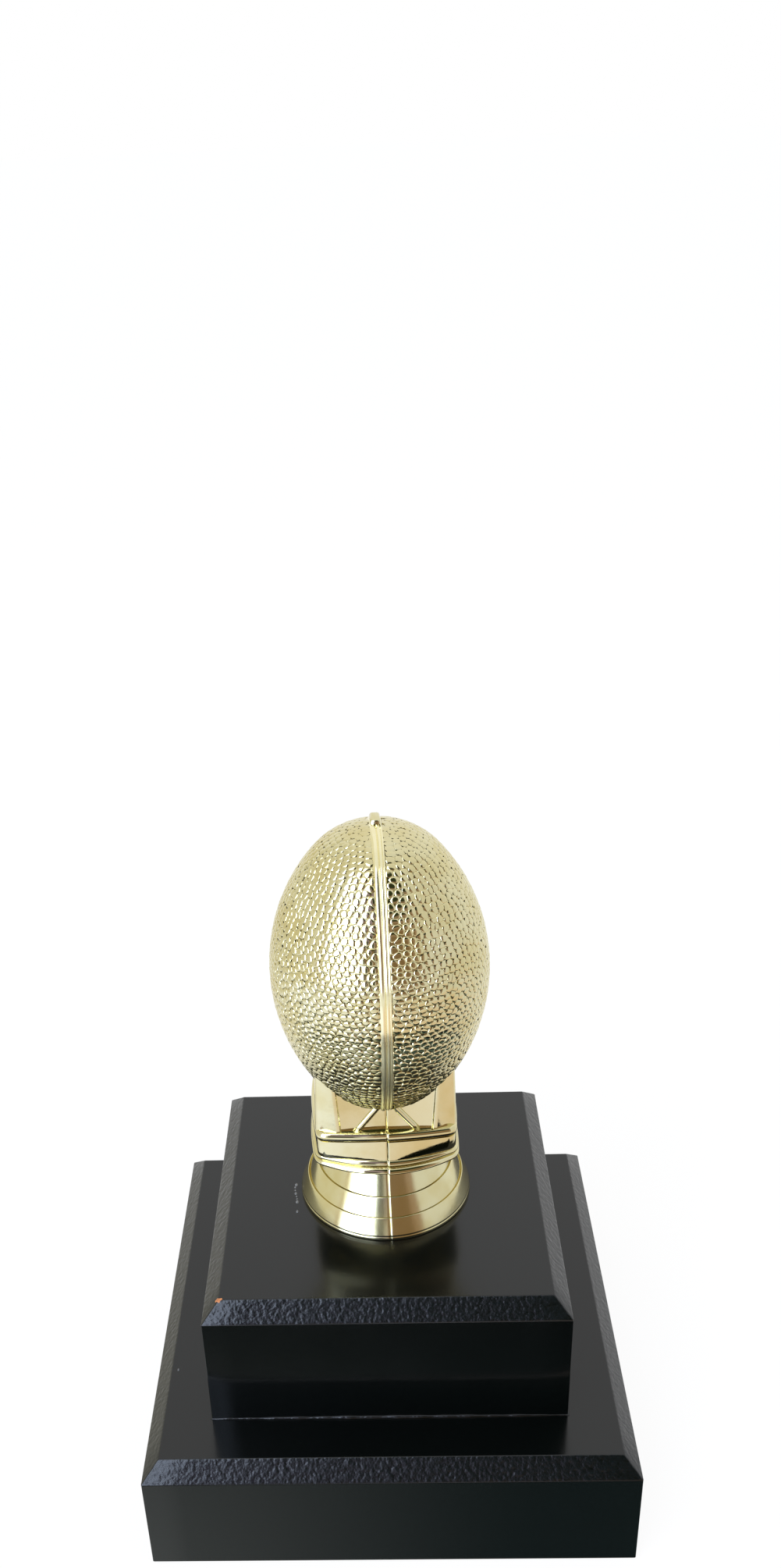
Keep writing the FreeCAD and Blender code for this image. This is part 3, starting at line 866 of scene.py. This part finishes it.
    def column_ring(self, share: float) -> Halves:
        """The column's outline part of the way up, with the sunk panels before and behind."""
        half = self.column_half - self.column_draft * share
        panel = self.panel_half + self.panel_flare * share
        inner = panel - self.panel_frame
        deep, shallow = self.column_depth - self.panel_recess, self.column_depth
        side = self.column_depth - self.facet_depth
        front = []
        for x in self.seam.steps:
            front.append((x, -(deep - self.seam.dip(x))))
        corners = [(self.seam.steps[-1], -deep), (inner, -deep), (inner + 0.35, -shallow),
                   (panel, -shallow), (half, -side), (half, 0.0)]
        turned = rounded(corners, (0.25, 0.25, 0.9, 1.8))
        return whole_turn(front + turned[1:])

    def make_column(self) -> Piece:
        """The column between the lip and the football."""
        sunk = 0.5
        return self.skin("column", [
            (self.column_foot - sunk + (self.column_height + sunk) * share, self.column_ring(share))
            for share in (0.0, 0.25, 0.5, 0.75, 1.0)])

    def make_ribs(self) -> Piece:
        """The chevron of rounded ribs on the front and back panels."""
        face = self.column_depth - self.panel_recess
        half = self.rib_width / 2
        shape = ((-1.0, -0.2), (-0.92, 0.35), (-0.6, 0.85), (0.0, 1.0), (0.6, 0.85), (0.92, 0.35),
                 (1.0, -0.2))
        surface = Surface()
        for front in (-1, 1):
            for side in Side:
                start = Vector((side.value * self.rib_spread, 0, self.column_foot - 0.3))
                end = Vector((0, 0, self.rib_apex))
                along = (end - start).normalized()
                across = Vector((along.z, 0, -along.x))
                rows = []
                for share in spread(0, 1, 8):
                    spot = start.lerp(end, share)
                    rows.append([
                        spot + across * (u * half)
                        + Vector((0, front * (face + h * self.rib_relief), 0)) for u, h in shape])
                surface.add_solid(rows, flip=front < 0)
        return self.place.settle(surface.build("chevron_ribs"))

    def build(self, gold: Finish) -> None:
        """Makes and dresses the pedestal's pieces."""
        satin = GoldPlating("satin_gold_plating", roughness=0.15).make()
        dress(self.make_riser(), satin, ["figure_left_half"])
        dress(self.make_collar(), gold, ["figure_right_half"])
        dress(self.make_column(), gold)
        dress(self.make_ribs(), gold)


# ---- wooden base

@dataclass
class WoodenBase:
    """Both painted tiers, with eased edges, and the small marks left on them."""

    bevel: float = 4.7
    ease: float = 0.35
    cuts: int = 14
    # Rows of points this near each edge keep the large faces flat when shaded.
    support: float = 0.3

    def square(self, half: float, ease: float, height: float) -> list[Vector]:
        """A square ring with small round corners and points along its sides."""
        points = []
        for quarter in range(4):
            turn = Matrix.Rotation(quarter * math.pi / 2, 3, "Z")
            for angle in spread(0, math.pi / 2, 4):
                points.append(turn @ Vector((half - ease + ease * math.cos(angle),
                                             half - ease + ease * math.sin(angle), 0)))
            for share in spread(0, 1, self.cuts)[1:-1]:
                points.append(turn @ Vector((blend(half - ease, ease - half, share), half, 0)))
        return [Vector((p.x, p.y, height)) * MM for p in points]

    def make_tier(self, node: str) -> Piece:
        """One block in place of its CAD node."""
        low, high = (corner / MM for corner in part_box(node))
        half, e, b, flat = high.x, self.ease, self.bevel, self.support
        soft = e * math.tan(math.radians(22.5))
        levels = [
            (half - e, low.z), (half - 0.3 * e, low.z + 0.3 * e), (half, low.z + e),
            (half, low.z + e + flat), (half, high.z - b - soft * 1.5 - flat),
            (half, high.z - b - soft * 1.5), (half - 0.12 * soft, high.z - b - soft * 0.6),
            (half - 0.6 * soft, high.z - b + soft * 0.1),
            (half - 1.5 * soft, high.z - b + soft * 1.1),
            (half - 1.5 * soft - flat, high.z - b + soft * 1.1 + flat),
            (half - b + 1.1 * soft + flat, high.z - 1.5 * soft - flat),
            (half - b + 1.1 * soft, high.z - 1.5 * soft),
            (half - b - 0.1 * soft, high.z - 0.6 * soft),
            (half - b - 0.9 * soft, high.z - 0.12 * soft), (half - b - 2 * soft, high.z),
            (half - b - 2 * soft - flat, high.z),
        ]
        surface = Surface()
        surface.add_solid([self.square(h, e, z) for h, z in levels], loop=True)
        return surface.build(node + "_painted", CRISP_WOOD)

    def make_paint_line(self) -> Piece:
        """The line of thick paint in the corner between the two tiers."""
        low, high = (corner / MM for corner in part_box("upper_tier"))
        rows = []
        for quarter in range(4):
            turn = Matrix.Rotation(quarter * math.pi / 2, 4, "Z")
            for share in spread(-1, 1, 61)[:-1]:
                x = share * high.x
                wave = math.sin(x * 0.9 + quarter) + math.sin(x * 0.37 + 2 * quarter)
                size = 0.34 + 0.5 * math.cos(share * math.pi / 2) + 0.08 * wave
                row = []
                for angle in spread(-0.25, math.pi / 2 + 0.25, 6):
                    out = high.x + size * (math.sin(angle) - 0.1)
                    spot = Vector((x * out / high.x, -out, low.z + size * math.cos(angle)))
                    row.append(turn @ (spot * MM))
                rows.append(row)
        surface = Surface()
        surface.add_grid(rows + rows[:1])
        return surface.build("paint_line")

    def make_chip(self) -> Piece:
        """Bare wood where the paint is knocked off the upper tier's front left corner."""
        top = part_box("upper_tier")[1].z / MM
        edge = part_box("upper_tier")[0].x / MM + self.bevel
        outline = ((-0.9, 0.5), (-0.2, 0.9), (0.5, 0.6), (1.0, 0.75), (1.2, 0.1), (0.6, -0.15),
                   (0.35, -0.6), (-0.3, -0.35), (-0.8, -0.2))
        surface = Surface()
        rim = surface.add_row([
            Vector((edge + x, edge + y, top - max(0.0, -x, -y) * 0.9 + 0.03)) * MM
            for x, y in outline])
        core = surface.add_row([
            Vector((edge + 0.5 * x, edge + 0.5 * y, top + 0.07 - max(0.0, -x, -y) * 0.4)) * MM
            for x, y in outline])
        for k in range(len(outline)):
            after = (k + 1) % len(outline)
            surface.faces.append((rim[after], rim[k], core[k], core[after]))
        surface.add_cap(core, flip=True)
        return surface.build("bare_chip", CRISP_WOOD)

    def make_drips(self) -> Piece:
        """Small dried beads of clear glue beside the riser, and specks on both tiers."""
        top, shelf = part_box("upper_tier")[1].z / MM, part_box("lower_tier")[1].z / MM
        trail = [(-26.8, 1.4, 0.5), (-27.1, 0.2, 0.35), (-27.0, -1.2, 0.3), (-26.8, -2.6, 0.45),
                 (-26.5, -4.0, 0.3), (-26.3, -5.2, 0.3), (-26.2, -6.5, 0.5), (-26.0, -10.7, 0.4)]
        spots = [(x, y, top, size) for x, y, size in trail] + [(-63.1, -32.6, shelf, 0.35)]
        surface = Surface()
        for x, y, level, size in spots:
            rows = []
            for lift, share in ((-0.02, 1.0), (0.12, 0.85), (0.22, 0.5)):
                rows.append([
                    Vector((x + size * share * math.cos(a), y + 1.35 * size * share * math.sin(a),
                            level + lift * size * 2)) * MM
                    for a in spread(0, math.tau, 11)[:-1]])
            surface.add_cap(surface.add_grid(rows, loop=True)[-1])
        return surface.build("glue_drops")

    def build(self) -> None:
        """Makes and dresses the base."""
        paint = BlackPaint().make()
        for node in ("lower_tier", "upper_tier"):
            dress(self.make_tier(node), paint, [node])
        dress(self.make_paint_line(), paint)
        bare = PlainFinish("bare_wood", (0.5, 0.2, 0.07), (0.3, 0.1, 0.035), 0.6).make()
        dress(self.make_chip(), bare)
        glue = PlainFinish("dried_glue", (0.16, 0.16, 0.16), (0.08, 0.08, 0.08), 0.12).make()
        dress(self.make_drips(), glue)


# ---- studio

@dataclass(frozen=True)
class Patch:
    """A soft-edged stretch of the surroundings, by direction in degrees, and its colour."""

    azimuth: Corner
    blur: float
    height: Corner
    fade: float
    colour: Triple

    def mask(self, azimuth: Sock, height: Sock) -> Sock:
        """1 within the patch and 0 away from it."""
        return azimuth.inside(*self.azimuth, self.blur) * height.inside(*self.height, self.fade)


SIDE_WALLS = (Patch((44, 100), 5, (-25, 48), 6, (0.86, 0.87, 0.9)),
              Patch((-140, -78), 8, (-30, 60), 8, (0.84, 0.82, 0.7)))
DIM_GAPS = (Patch((0, 46), 2.5, (-14, 52), 5, (0.42, 0.3, 0.24)),
            Patch((4, 34), 3, (-9, 22), 3, (0.27, 0.18, 0.11)),
            Patch((-12, 46), 5, (30, 66), 5, (0.04, 0.05, 0.025)),
            Patch((-21, 0), 2.5, (9, 48), 4, (0.37, 0.3, 0.44)),
            Patch((-14, -3), 1.5, (-12, 20), 3, (0.12, 0.12, 0.1)),
            Patch((-66, -60), 3, (-12, 12), 4, (0.6, 0.46, 0.26)))


@dataclass
class Studio:
    """Camera, floor, lamps and the soft surroundings that the gold reflects."""

    eye: Triple = (2.756, -331.12, 363.60)
    yaw: float = -2.458
    pitch: float = 29.367
    roll: float = -2.645
    focal: float = 1795.0
    centre: Corner = (427.8, 1169.6)
    size: Corner = (1001.0, 2009.0)
    sensor: float = 36.0

    def add_camera(self) -> None:
        """The camera of the calibrated view."""
        data = bpy.data.cameras.new("view")
        data.sensor_fit = "AUTO"
        data.sensor_width = self.sensor
        data.lens = self.focal * self.sensor / self.size[1]
        data.shift_x = (self.size[0] / 2 - self.centre[0]) / self.size[1]
        data.shift_y = (self.centre[1] - self.size[1] / 2) / self.size[1]
        camera = bpy.data.objects.new("view", data)
        yaw, pitch, roll = (math.radians(a) for a in (self.yaw, self.pitch, self.roll))
        ahead = Vector((math.sin(yaw) * math.cos(pitch), math.cos(yaw) * math.cos(pitch),
                        -math.sin(pitch)))
        level = Vector((math.cos(yaw), -math.sin(yaw), 0))
        upward = level.cross(ahead)
        right = level * math.cos(roll) + upward * math.sin(roll)
        up = upward * math.cos(roll) - level * math.sin(roll)
        camera.matrix_world = Matrix.Translation(Vector(self.eye) * MM) @ Matrix(
            (right, up, -ahead)).transposed().to_4x4()
        data.clip_start, data.clip_end = 0.01, 100
        bpy.context.scene.collection.objects.link(camera)
        bpy.context.scene.camera = camera

    def add_floor(self) -> None:
        """A pale floor that keeps a soft shadow."""
        surface = Surface()
        far = 30.0
        surface.add_grid([[Vector((x, y, 0)) for x in (-far, 0, far)] for y in (-far, 0, far)])
        floor = surface.build("floor")
        material, graph = new_graph("pale_floor")
        seen = graph.add("LightPath", output="Is Camera Ray")
        white = graph.add("Emission")
        matt = graph.add("BsdfDiffuse", {}, {"Color": (0.86, 0.86, 0.85, 1)})
        top = graph.add("MixShader", {}, {0: seen * 0.93, 1: matt, 2: white})
        mirrored = graph.add("LightPath", output="Is Glossy Ray")
        clear = graph.add("BsdfTransparent")
        graph.finish(graph.add("MixShader", {}, {0: mirrored, 1: top, 2: clear}))
        floor.data.materials.append(material)

    def add_lamp(self, name: str, azimuth: float, height: float, far: float, size: float,
                 power: float) -> None:
        """A square soft lamp aimed at the trophy, placed by direction and distance."""
        data = bpy.data.lights.new(name, "AREA")
        data.shape, data.size, data.energy = "SQUARE", size, power
        lamp = bpy.data.objects.new(name, data)
        a, e = math.radians(azimuth), math.radians(height)
        way = Vector((math.sin(a) * math.cos(e), -math.cos(a) * math.cos(e), math.sin(e)))
        lamp.location = Vector((0, 0, 0.1)) + way * far
        lamp.rotation_mode = "QUATERNION"
        lamp.rotation_quaternion = (-way).to_track_quat("-Z", "Y")
        lamp.visible_glossy = False
        bpy.context.scene.collection.objects.link(lamp)

    def add_surroundings(self) -> None:
        """White to the camera; to the metal, a pale room with soft boxes and dim gaps."""
        world = bpy.data.worlds.new("soft_room")
        world.use_nodes = True
        bpy.context.scene.world = world
        graph = Graph(world.node_tree)
        x, y, z = graph.parts(graph.add("TexCoord", output="Generated"))
        degrees = 180 / math.pi
        azimuth = graph.add("Math", {"operation": "ARCTAN2"}, {0: x, 1: y * -1}) * degrees
        height = graph.add("Math", {"operation": "ARCSINE"}, {0: z}) * degrees
        side = abs(azimuth)
        room = graph.mix(side.rise(95, 150), (0.92, 0.94, 0.98), (1, 1, 1))
        for patch in SIDE_WALLS:
            room = graph.mix(patch.mask(azimuth, height), room, patch.colour)
        ahead = 1 - side.rise(75, 130)
        right = azimuth.rise(-20, 20)
        # From the wall's foot down: where it applies, how it turns, and its left and right colours.
        for level, across, first, second in (
                (height.inside(-41, -22, 4), right, (1.18, 1.25, 1.5), (0.92, 0.78, 0.68)),
                (height.rise(-39.5, -41.5), right, (0.05, 0.06, 0.05), (0, 0, 0)),
                (height.rise(-47.8, -49), azimuth.rise(-24, 10), (0.66, 0.7, 0.68),
                 (0.07, 0.11, 0.11)),
                (height.rise(-65, -71), right, (0.75, 0.75, 0.75), (0.5, 0.46, 0.38))):
            room = graph.mix(ahead * level, room, graph.mix(across, first, second))
        for patch in DIM_GAPS:
            room = graph.mix(patch.mask(azimuth, height), room, patch.colour)
        box = azimuth.rise(-62, -50) * (1 - azimuth.rise(-17, -14)) * height.inside(-12, 64, 3)
        box = box.most(azimuth.inside(-44, -16, 4) * height.inside(54, 70, 4))
        bars = azimuth.inside(-40, -34, 1.5).most(azimuth.inside(-26, -22, 1))
        bars = bars.most(height.inside(29, 33, 1.5))
        box = box * (1 - 0.85 * bars * height.inside(17, 80, 3))
        room = graph.mix(box, room, (4.8, 5.6, 7.2))
        seen = graph.add("LightPath", output="Is Camera Ray")
        colour = graph.mix(seen, room, (1, 1, 1))
        shine = graph.add("Background", {}, {"Color": colour})
        graph.node("OutputWorld", {}, {"Surface": shine})

    def build(self) -> None:
        """Sets up the whole studio."""
        self.add_camera()
        self.add_floor()
        self.add_surroundings()
        self.add_lamp("key", -35, 48, 1.2, 0.6, 6.0)
        self.add_lamp("fill", 50, 35, 1.4, 0.8, 2.5)
        bpy.context.scene.view_settings.view_transform = "Standard"


def dress_hidden_nodes() -> None:
    """Finishes for the CAD nodes that keep their own shape."""
    zinc = PlainFinish("zinc_steel", (0.62, 0.62, 0.6), (0.5, 0.5, 0.5), 0.28, 1.0).make()
    felt = PlainFinish("black_felt", (0.012, 0.012, 0.013), (0.03, 0.03, 0.032), 0.85,
                       grain=3.0, relief=0.0003).make()
    finishes = {"threaded_rod": zinc, "figure_nut": zinc, "base_nut": zinc, "base_washer": zinc,
                "felt_sheet": felt}
    for node, material in finishes.items():
        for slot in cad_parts[node].material_slots:
            slot.material = material
        LOG.info("%s keeps its solid", node)


def main() -> None:
    """Builds the trophy and its studio in order."""
    logging.basicConfig(level=logging.INFO, format="%(message)s")
    Studio().build()
    gold = GoldPlating().make()
    place = FigureFrame()
    WoodenBase().build()
    Pedestal(place).build(gold)
    Football(place).build(gold)
    dress_hidden_nodes()


if __name__ == "__main__":
    main()
